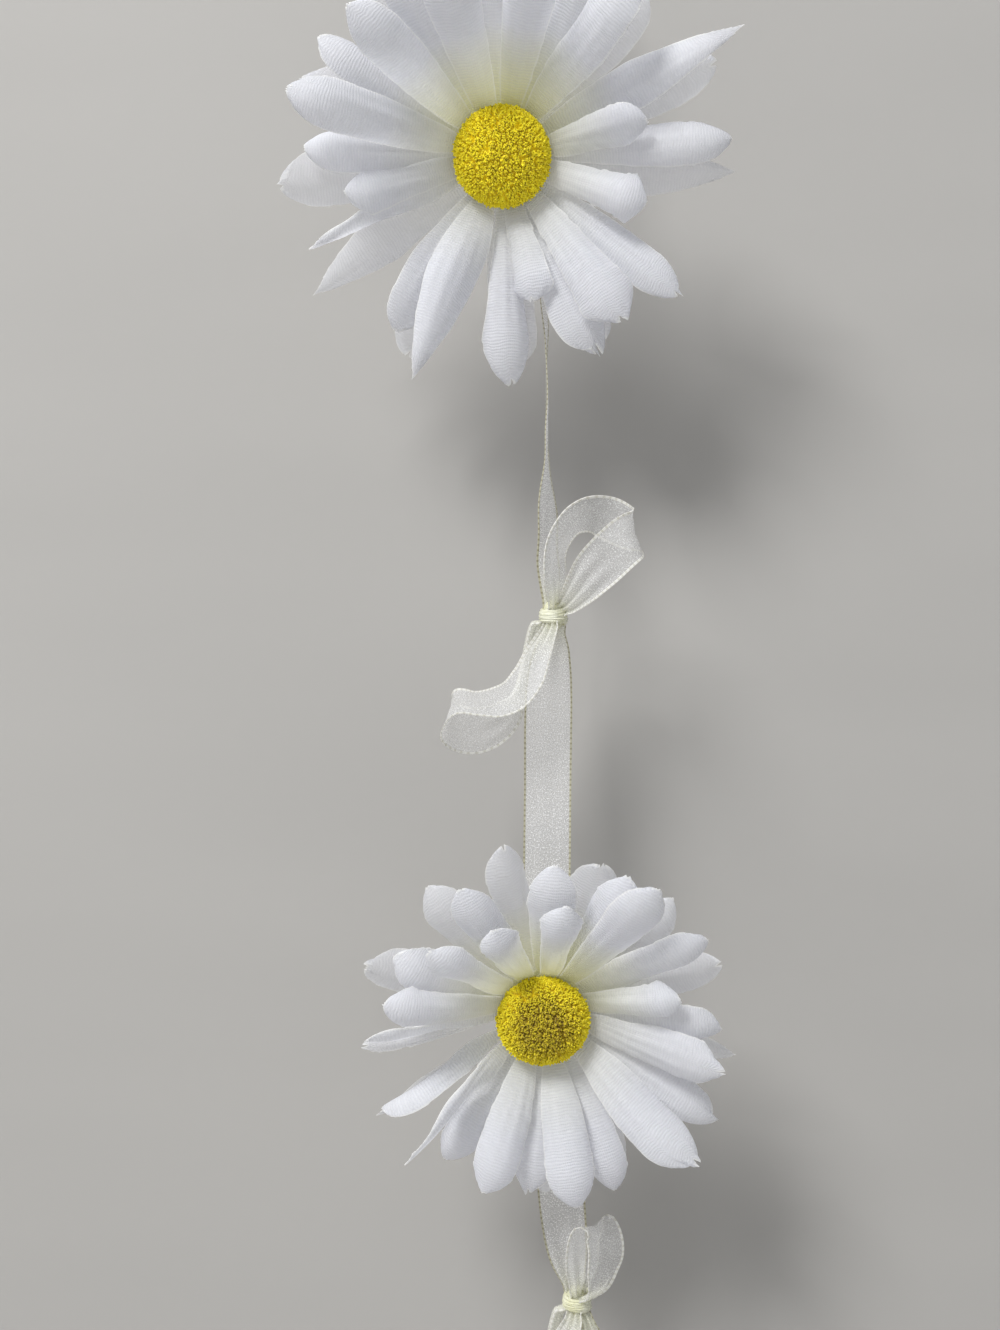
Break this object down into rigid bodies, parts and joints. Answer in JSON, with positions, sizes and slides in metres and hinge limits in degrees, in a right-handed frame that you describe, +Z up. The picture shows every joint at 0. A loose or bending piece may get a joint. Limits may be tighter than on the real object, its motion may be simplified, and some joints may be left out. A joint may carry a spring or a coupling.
{
  "type": "artificial daisy garland",
  "caption": "Hanging length of sheer ribbon tied in bows, with fabric daisies that have flocked yellow centres.",
  "frame": {"origin": "the inside top of the hanging loop, where a hook or nail bears on the ribbon", "axes": "+Z up, +X to the right as the blooms face the viewer, and the blooms face -Y"},
  "size_m": [0.0938, 0.052, 0.3457],
  "materials": {
    "petal_fabric": "thin white woven fabric, pressed",
    "flock": "yellow flock with olive specks",
    "collar_plastic": "satin white moulding",
    "felt": "white felt",
    "ribbon": "sheer ivory organza"
  },
  "bodies": {
    "root": {"upper_petals_front": "petal_fabric", "upper_petals_middle": "petal_fabric", "upper_petals_back": "petal_fabric", "upper_centre": "flock", "upper_collar": "collar_plastic", "upper_pad": "felt", "lower_petals_front": "petal_fabric", "lower_petals_middle": "petal_fabric", "lower_petals_back": "petal_fabric", "lower_centre": "flock", "lower_collar": "collar_plastic", "lower_pad": "felt", "hanging_loop": "ribbon", "knot_top": "ribbon", "ribbon_upper_length": "ribbon", "knot_middle": "ribbon", "bow_middle_right_loop": "ribbon", "bow_middle_left_loop": "ribbon", "ribbon_lower_length": "ribbon", "knot_bottom": "ribbon", "bow_bottom_right_loop": "ribbon", "bow_bottom_left_loop": "ribbon", "tail_left": "ribbon", "tail_right": "ribbon"}
  },
  "joints": []
}
